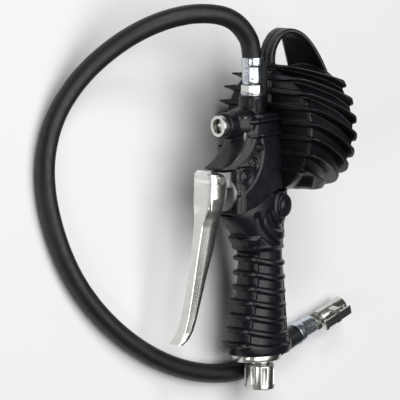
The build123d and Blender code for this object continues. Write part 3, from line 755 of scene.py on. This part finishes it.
def side_band(z, side):
    """One of the smooth bands that run from the bleed boss to the boot's fins."""
    path = [(-30, 8.0), (-27.5, 11.4), (-23, 12.9), (-16, 13.2), (-8, 13.4), (SHELL_BACK, 13.6)]
    return rod([(x, side * y, z + 0.06 * (x + 20)) for x, y in path], SIDE_BAND_R, 14)


def tower_lip(side):
    """The thin lip that stands beside the tower."""
    path = [(TOWER_X - 3, 10.4, 9), (TOWER_X - 4, 9.9, 15), (TOWER_X - 3.4, 9.4, 22)]
    return rod([(x, side * y, z) for x, y, z in path], 0.7, 10)


def flank_shift(point):
    """Sinks a curved front panel and the three domed dimples in it on each flank."""
    if abs(point.y) < 9 or point.x > -4 or point.z > 2:
        return Vector((0, 0, 0))
    push = 0.0
    for x, z, radius in DIMPLES:
        away = hypot(point.x - x, point.z - z) / radius
        bowl = 1 - smoothstep(0.78, 1.08, away)
        dome = 1 - smoothstep(0.1, 0.78, away)
        push -= DIMPLE_DEPTH * (bowl - 1.05 * dome)
    inside = PANEL_R - hypot(point.x - PANEL_CENTRE[0], point.z - PANEL_CENTRE[1])
    push -= PANEL_STEP * smoothstep(-0.4, 0.6, inside) * (1 - smoothstep(-4.0, 0.0, point.z))
    return Vector((0, push if point.y > 0 else -push, 0))


def valve_hole():
    """The round window in the shells' front, through which the valve boss shows."""
    profile = [(-60.0, 0.05), (-60.0, SHELL_HOLE_R), (-37.5, SHELL_HOLE_R), (-37.5, 0.05)]
    return moved(turned(profile, 96), Matrix.Translation((0, 0, VALVE_Z)))


def make_head():
    """The head shells, melted from hood, cheeks, bosses and bands, with the valve's window cut."""
    solids = [hood(), cheeks(), bleed_boss(), tower()]
    for side in (-1, 1):
        solids.extend(side_band(z, side) for z in SIDE_BAND_LEVELS)
        solids.append(tower_lip(side))
    mesh = moulded(solids, HEAD_VOXEL, 3)
    cutter = bpy.data.objects.new("cutter", raw_mesh([valve_hole()], TOOL))
    bpy.context.scene.collection.objects.link(cutter)
    cut = {"operation": "DIFFERENCE", "solver": "EXACT", "object": cutter}
    mesh = finished(mesh, ("BOOLEAN", cut))
    bpy.data.objects.remove(cutter)
    carve(mesh, flank_shift)
    smooth_faces(mesh)
    halves = ("head_shell_left", "head_shell_right")
    added("head_shell_skin", mesh, "black_plastic", "tool", "black_plastic", *halves)


# ---------------------------------------------------------------- grip

GRIP_ROWS = [
    (-157.4, -157.4, -31.6, 15.0, 16.4),
    (-155.6, -155.6, -33.0, 16.4, 16.8),
    (-152.0, -152.0, -34.0, 17.4, 17.0),
    (-142.0, -142.0, -31.4, 13.0, 16.6),
    (-124.0, -124.0, -26.4, 11.6, 15.8),
    (-104.0, -104.0, -23.4, 10.6, 15.2),
    (-90.0, -90.0, -22.8, 9.8, 15.2),
    (-80.0, -79.0, -25.0, 9.8, 15.3),
    (-72.0, -69.0, -31.0, 10.2, 15.6),
    (-65.0, -58.0, -37.6, 11.6, 15.9),
    (-61.0, -49.5, -41.0, 13.2, 16.2),
    (-58.4, -41.8, -42.0, 13.6, 16.2),
]
GRIP_AROUND = 260
GRIP_STEP = 0.45
OVAL_POWER = 0.88
JOINT_BEND = 0.68
FIRST_BAND_Z = -89.0
BAND_PITCH = 10.0
BAND_COUNT = 7
BAND_SLOPE = 0.21
POCKET_DEPTH = 2.6
BADGE_X = 1.2
BADGE_Z = -52.6
BADGE_NARROWING = 0.8
COLLAR_RISE = 0.8
NOSE_Z = -79.0
NOSE_HALF = 5.0
NOSE_REACH = 4.2
RIB_HALF = 1.7
RIB_REACH = 4.6
RIB_GROWTH = 0.15
BAND_HALF = 1.75
SEAM_BEHIND = 5.2
SEAM_DEPTH = 0.55
SEAM_TOP = -60
FAN_ARCS = ((12.2, 18.0), (22.2, 28.6))
FAN_DEPTH = 2.4
GRIP_FRONT_LINE = [(-157, -33), (-142, -31), (-124, -26.4), (-104, -23.4), (-84, -23.4)]


def grip_ring(low_front, low_back, front, back, half):
    """One oval ring of the grip, tilted where it meets the head."""
    ring = []
    for i in range(GRIP_AROUND):
        angle = 2 * pi * i / GRIP_AROUND
        c, s = cos(angle), sin(angle)
        x = (front + back) / 2 - (back - front) / 2 * abs(c) ** OVAL_POWER * (1 if c > 0 else -1)
        y = -half * abs(s) ** OVAL_POWER * (1 if s > 0 else -1)
        share = min(1.0, (x - front) / (back - front) / JOINT_BEND)
        ring.append((x, y, low_front + (low_back - low_front) * share))
    return ring


def band_level(index, x):
    """How high a side band lies at a distance behind the grip's front."""
    back = min(22.0, max(0.0, x + 26.0 + 1.2 * index))
    return FIRST_BAND_Z - BAND_PITCH * index - BAND_SLOPE * back


def ridge_profile(offset, half, edge):
    """1 on a ridge, 0 off it, with round shoulders."""
    return 1 - smoothstep(half - edge, half + edge, abs(offset))


def finger_ribs(z, front_at):
    """How far the finger ribs and the nose above them stand forward at a height."""
    reach = NOSE_REACH * ridge_profile(z - NOSE_Z, NOSE_HALF, 1.4)
    for index in range(BAND_COUNT):
        tab = ridge_profile(z - band_level(index, front_at), RIB_HALF, 0.45)
        reach = max(reach, tab * (RIB_REACH + RIB_GROWTH * index))
    return reach


def side_pockets(point, front_at, open_share):
    """How deep the pockets between the side bands and the seam in front of them lie."""
    band = max(
        ridge_profile(point.z - band_level(index, point.x), BAND_HALF, 0.7) for index in range(BAND_COUNT)
    )
    low = smoothstep(-152.0, -149.5, point.z)
    high = 1 - smoothstep(-84.5, -81.5, point.z - 0.16 * min(0.0, 20 + point.x))
    seam = ridge_profile(point.x - front_at - SEAM_BEHIND, 0.5, 0.35) * low
    if point.z >= SEAM_TOP:
        seam = 0.0
    return max(POCKET_DEPTH * (1 - band) * low * high * open_share, SEAM_DEPTH * seam)


def fan_pockets(point, front_at):
    """How deep the two curved pockets that fan out below the badge lie."""
    if point.z <= -88 or point.x >= 9:
        return 0.0
    away = hypot(point.x - BADGE_X, (point.z - BADGE_Z) * 0.95)
    start = smoothstep(0.1, 0.3, (BADGE_Z - point.z) / max(away, 1))
    stop = 1 - smoothstep(7.0, 9.0, point.x)
    fence = smoothstep(front_at + 7.5, front_at + 9.5, point.x + 0.62 * max(0.0, point.z + 80))
    foot = smoothstep(-86.5, -84.5, point.z)
    ring = max(
        smoothstep(near, near + 1.6, away) * (1 - smoothstep(far - 1.6, far, away)) for near, far in FAN_ARCS
    )
    return FAN_DEPTH * ring * start * stop * fence * foot


def badge_collar(point):
    """How far the collar round the badge stands out."""
    away = hypot((point.x - BADGE_X) / BADGE_NARROWING, point.z - BADGE_Z)
    return COLLAR_RISE * smoothstep(8.2, 9.0, away) * (1 - smoothstep(10.6, 11.8, away))


def grip_shift(point):
    """Raises the finger ribs, side bands and badge collar, and sinks the pockets between them."""
    front_at = between(GRIP_FRONT_LINE, point.z)[0]
    fore = 1 - smoothstep(front_at + 3.0, front_at + 6.5, point.x)
    rear = smoothstep(7.0, 10.0, point.x)
    sink = side_pockets(point, front_at, (1 - fore) * (1 - rear))
    sink = max(sink, fan_pockets(point, front_at)) - badge_collar(point)
    inward = -1 if point.y > 0 else 1
    across = inward * sink * smoothstep(2, 7, abs(point.y))
    along = -0.6 * sink * rear - fore * finger_ribs(point.z, front_at)
    return Vector((along, across, 0))


def make_grip():
    """The moulded grip with its finger ribs, bands and pockets."""
    rings = []
    for row in range(len(GRIP_ROWS) - 1):
        low, high = GRIP_ROWS[row], GRIP_ROWS[row + 1]
        steps = max(2, int(abs(high[0] - low[0]) / GRIP_STEP))
        for i in range(steps):
            share = i / steps
            rings.append(grip_ring(*(a + (b - a) * share for a, b in zip(low, high))))
    rings.append(grip_ring(*GRIP_ROWS[-1]))
    mesh = raw_mesh([loft(rings)], TOOL)
    mesh = finished(mesh, ("SMOOTH", {"factor": 0.5, "iterations": 6}))
    carve(mesh, grip_shift)
    mesh = finished(mesh, ("SMOOTH", {"factor": 0.5, "iterations": 2}))
    smooth_faces(mesh, 50)
    added("grip_skin", mesh, "grip_plastic", "tool", "grip_plastic", "grip_sleeve")


BADGE_FACE = [
    # depth in front of the seat, and radius along the badge's long axis
    (0.0, 8.0), (0.9, 8.0), (1.25, 7.8), (1.4, 7.4), (1.4, 6.9), (1.2, 6.6), (0.8, 6.4), (0.8, 5.3),
    (1.1, 5.1), (1.1, 4.7), (0.8, 4.5), (0.8, 2.9), (1.15, 2.5), (1.3, 1.4), (1.3, 0.05), (0.0, 0.05),
]
BADGE_SEAT_Y = -14.9


def make_badge():
    """The plain oval medallion: a raised rim round a sunk field with a ring and a boss."""
    place = Matrix.Translation((BADGE_X, BADGE_SEAT_Y, BADGE_Z)) @ Matrix((
        (0, BADGE_NARROWING, 0, 0), (-1, 0, 0, 0), (0, 0, 1, 0), (0, 0, 0, 1),
    ))
    mesh = raw_mesh([moved(turned(BADGE_FACE, 96), place)], TOOL)
    smooth_faces(mesh, 50)
    added("badge_medallion", mesh, "grip_plastic", "tool", "black_plastic", "badge")


# ---------------------------------------------------------------- dial

DIAL_FACE = 31.8
MARK_DEPTH = 0.12
ZERO_ANGLE = 225
SWEEP = 270
BAR_FULL = 12
PSI_PER_BAR = 14.504


def dial_way(bar):
    """The direction in Y and Z from the dial's centre to a pressure on its scale."""
    angle = radians(ZERO_ANGLE - SWEEP * bar / BAR_FULL)
    return Vector((0, cos(angle), sin(angle)))


def tick(bar, inner, outer, width):
    """A printed line on the dial from one radius to another."""
    way = dial_way(bar)
    side = Vector((0, -way.z, way.y)) * width / 2
    low, high = Vector((DIAL_FACE, 0, 0)), Vector((DIAL_FACE + MARK_DEPTH, 0, 0))
    corners = [way * inner - side, way * inner + side, way * outer + side, way * outer - side]
    return loft([[base + corner for corner in corners] for base in (low, high)])


def figure(text, size, place):
    """A printed figure, as a thin solid that reads upright from behind the tool."""
    curve = bpy.data.curves.new("figure", "FONT")
    curve.body = text
    curve.size = size
    curve.extrude = MARK_DEPTH / 2
    curve.align_x = "CENTER"
    curve.align_y = "CENTER"
    mesh = finished(curve)
    middle = DIAL_FACE + MARK_DEPTH / 2
    points = [place + Vector((middle + v.co.z, v.co.x, v.co.y)) for v in mesh.vertices]
    return points, [list(face.vertices) for face in mesh.polygons]


def make_dial():
    """The dial's printed scales: bar outside with its figures, and psi inside."""
    solids = [tick(step / 5, 33.6, 35.8, 0.25) for step in range(5 * BAR_FULL + 1)]
    for bar in range(BAR_FULL + 1):
        solids.append(tick(bar, 31.8, 35.8, 0.6))
        if bar % 2 == 0:
            solids.append(figure(str(bar), 5.6, dial_way(bar) * 27.4))
    for psi in range(0, 171, 10):
        solids.append(tick(psi / PSI_PER_BAR, 18.6, 20.4, 0.3))
        if psi % 50 == 0:
            solids.append(figure(str(psi), 3.8, dial_way(psi / PSI_PER_BAR) * 14.8))
    solids.append(figure("bar", 4.4, Vector((0, 0, -22))))
    solids.append(figure("psi", 3.4, Vector((0, 0, -14))))
    mesh = raw_mesh(solids, TOOL)
    added("dial_marks", mesh, "pointer_black", "tool", "pointer_black")


# ---------------------------------------------------------------- lever

SHEET = 1.5
LEVER_ROWS = [
    # front x, front z, back x, back z, half width, bevel, notch
    (-60.6, -25.0, -57.2, -25.0, 6.6, 0.8, 0.0),
    (-61.4, -25.8, -54.0, -26.6, 8.2, 0.8, 0.3),
    (-62.0, -27.6, -50.8, -28.2, 9.3, 0.7, 0.6),
    (-62.1, -31.0, -49.2, -31.4, 9.6, 0.7, 0.7),
    (-62.15, -33.3, -48.6, -33.4, 9.6, 0.7, 0.7),
    (-61.5, -33.5, -48.5, -33.6, 9.6, 0.7, 0.7),
    (-61.5, -34.0, -48.4, -34.0, 9.6, 0.7, 0.7),
    (-62.2, -34.2, -48.3, -34.2, 9.6, 0.7, 0.7),
    (-62.2, -38.0, -48.2, -38.0, 9.6, 0.7, 0.7),
    (-62.8, -46.0, -49.2, -46.0, 9.6, 0.9, 0.6),
    (-63.8, -52.0, -52.2, -53.6, 9.0, 1.6, 0.3),
    (-64.8, -57.0, -54.2, -59.5, 8.0, 2.6, 0.0),
    (-66.4, -63.0, -55.2, -65.0, 7.2, 3.4, 0.0),
    (-69.0, -77.0, -57.8, -78.0, 6.9, 3.5, 0.0),
    (-72.0, -93.0, -62.6, -92.0, 6.7, 3.4, 0.0),
    (-75.6, -111.0, -68.2, -110.0, 6.5, 3.2, 0.0),
    (-79.0, -126.0, -73.0, -125.4, 6.4, 2.9, 0.0),
    (-82.6, -135.4, -76.6, -134.4, 6.5, 2.5, 0.0),
    (-86.2, -140.4, -80.8, -140.0, 6.5, 1.9, 0.0),
    (-89.8, -143.6, -86.2, -143.9, 6.0, 1.0, 0.0),
]


def lever_ring(front_x, front_z, back_x, back_z, half, bevel, notch):
    """One U-shaped section of the lever: a flat front, two bevels and two flanges."""
    front, back = Vector((front_x, 0, front_z)), Vector((back_x, 0, back_z))
    deep = back - front
    size = deep.length

    def at(depth, y):
        return front + deep * min(1.0, depth / size) + Vector((0, y, 0))

    flat = half - bevel
    outer = [(0.0, 0.0), (0.0, flat - 0.3), (notch, flat - 0.2), (notch, flat + 0.25)]
    outer += [(bevel * 0.25, flat + 0.35), (bevel * 1.15 + 0.2, half), (size * 0.6 + 0.8, half), (size, half)]
    inside = half - SHEET
    soft = min(bevel, inside - 0.5)
    inner = [(size, inside), (size * 0.6 + 1, inside), (SHEET + soft * 1.1, inside)]
    inner += [(SHEET, inside - soft), (SHEET, 0.0)]
    right = [at(min(depth, size), y) for depth, y in outer + inner]
    left = [Vector((point.x, -point.y, point.z)) for point in right[-2:0:-1]]
    return right + left


def make_lever():
    """The pressed trigger lever."""
    rows = []
    for low, high in zip(LEVER_ROWS, LEVER_ROWS[1:]):
        steps = 1 if abs(high[1] - low[1]) < 3 else 6
        for i in range(steps):
            share = smoothstep(0, 1, i / steps) * 0.3 + 0.7 * i / steps
            rows.append(tuple(a + (b - a) * share for a, b in zip(low, high)))
    rows.append(LEVER_ROWS[-1])
    mesh = raw_mesh([loft([lever_ring(*row) for row in rows])], TOOL)
    rounding = {"width": 0.35 * MM, "segments": 2, "angle_limit": radians(28), "limit_method": "ANGLE"}
    mesh = finished(mesh, ("BEVEL", rounding))
    smooth_faces(mesh, 35)
    added("lever_pressing", mesh, "bright_nickel", "trigger", "bright_nickel", "lever")


# ---------------------------------------------------------------- hose

HOSE_R = 0.0068
HOSE_ROUTE = [
    (0.00900, 0.09372, 0.05808),
    (0.00900, 0.11287, 0.06115),
    (0.00202, 0.12462, 0.06280),
    (-0.00948, 0.13412, 0.06290),
    (-0.02548, 0.13862, 0.05990),
    (-0.04548, 0.13912, 0.05270),
    (-0.06748, 0.13362, 0.04070),
    (-0.08948, 0.12162, 0.02720),
    (-0.11148, 0.10312, 0.01470),
    (-0.13048, 0.07962, 0.00790),
    (-0.14298, 0.05262, 0.00685),
    (-0.14598, 0.02462, 0.00685),
    (-0.14048, -0.00638, 0.00685),
    (-0.12948, -0.03338, 0.00685),
    (-0.11348, -0.05588, 0.00685),
    (-0.09398, -0.07488, 0.00685),
    (-0.07048, -0.09138, 0.00685),
    (-0.04348, -0.10388, 0.00685),
    (-0.01548, -0.11088, 0.00685),
    (0.01402, -0.11238, 0.00685),
    (0.03760, -0.10440, 0.00720),
    (0.05862, -0.09580, 0.00810),
    (0.08118, -0.08760, 0.00810),
]


def make_hose():
    """The rubber hose, one smooth spline through its route's control points."""
    curve = bpy.data.curves.new("hose_line", "CURVE")
    curve.dimensions = "3D"
    curve.bevel_depth = HOSE_R
    curve.bevel_resolution = 10
    curve.use_fill_caps = True
    spline = curve.splines.new("NURBS")
    spline.points.add(len(HOSE_ROUTE) - 1)
    for point, place in zip(spline.points, HOSE_ROUTE):
        point.co = (*place, 1)
    spline.order_u = 3
    spline.use_endpoint_u = True
    spline.resolution_u = 14
    curve.materials.append(materials["hose_rubber"])
    hose = bpy.data.objects.new("hose_tube", curve)
    bpy.context.scene.collection.objects.link(hose)
    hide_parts("hose")
    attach(hose, "tool")


# ---------------------------------------------------------------- studio

FLOOR_SIZE = 6.0
DARK_WAY = (0.72, -0.1, 0.62)
DARK_FROM = 0.6
DARK_TO = 0.9
PALE_SURROUND = 1.45
DARK_CARD = 0.5


def make_floor():
    """The plain pale floor that the tool lies on."""
    mesh = bpy.data.meshes.new("floor")
    half = FLOOR_SIZE / 2
    corners = [(-half, -half, 0), (half, -half, 0), (half, half, 0), (-half, half, 0)]
    mesh.from_pydata(corners, [], [(0, 1, 2, 3)])
    mesh.materials.append(floor_paper())
    floor = bpy.data.objects.new("floor", mesh)
    bpy.context.scene.collection.objects.link(floor)


def softbox(name, azimuth, elevation, distance, size, power):
    """A square area light aimed at the tool, placed by angles in the tool's frame."""
    data = bpy.data.lights.new(name, "AREA")
    data.size = size
    data.energy = power
    light = bpy.data.objects.new(name, data)
    bpy.context.scene.collection.objects.link(light)
    target = TOOL @ Vector(AIM)
    place = target + distance * tool_direction(azimuth, elevation)
    light.matrix_world = aimed(place, target, UP_HANDLE)


def make_surround():
    """A pale surround that falls off to a darker card above and behind, for contrast in the metal."""
    world = bpy.data.worlds.new("surround")
    world.use_nodes = True
    tree = world.node_tree
    place = tree.nodes.new("ShaderNodeTexCoord")
    facing = tree.nodes.new("ShaderNodeVectorMath")
    facing.operation = "DOT_PRODUCT"
    facing.inputs[1].default_value = Vector(DARK_WAY).normalized()
    shade = tree.nodes.new("ShaderNodeMapRange")
    shade.interpolation_type = "SMOOTHSTEP"
    shade.inputs["From Min"].default_value = DARK_FROM
    shade.inputs["From Max"].default_value = DARK_TO
    shade.inputs["To Min"].default_value = PALE_SURROUND
    shade.inputs["To Max"].default_value = DARK_CARD
    tree.links.new(place.outputs["Generated"], facing.inputs[0])
    tree.links.new(facing.outputs["Value"], shade.inputs["Value"])
    tree.links.new(shade.outputs["Result"], tree.nodes["Background"].inputs["Strength"])
    bpy.context.scene.world = world
    bpy.context.scene.view_settings.view_transform = "Standard"


def make_lights():
    """One broad overhead light for the floor and two softboxes for highlights."""
    make_surround()
    softbox("overhead", 90, 9, 2.4, 2.6, 58)
    softbox("key", 70, 52, 1.6, 0.5, 6)
    softbox("edge", 30, -5, 1.6, 0.3, 2.5)


make_camera()
make_floor()
make_lights()
dress_frame()
soften_edges()
make_hose()
make_boot()
make_head()
make_grip()
make_badge()
make_dial()
make_lever()
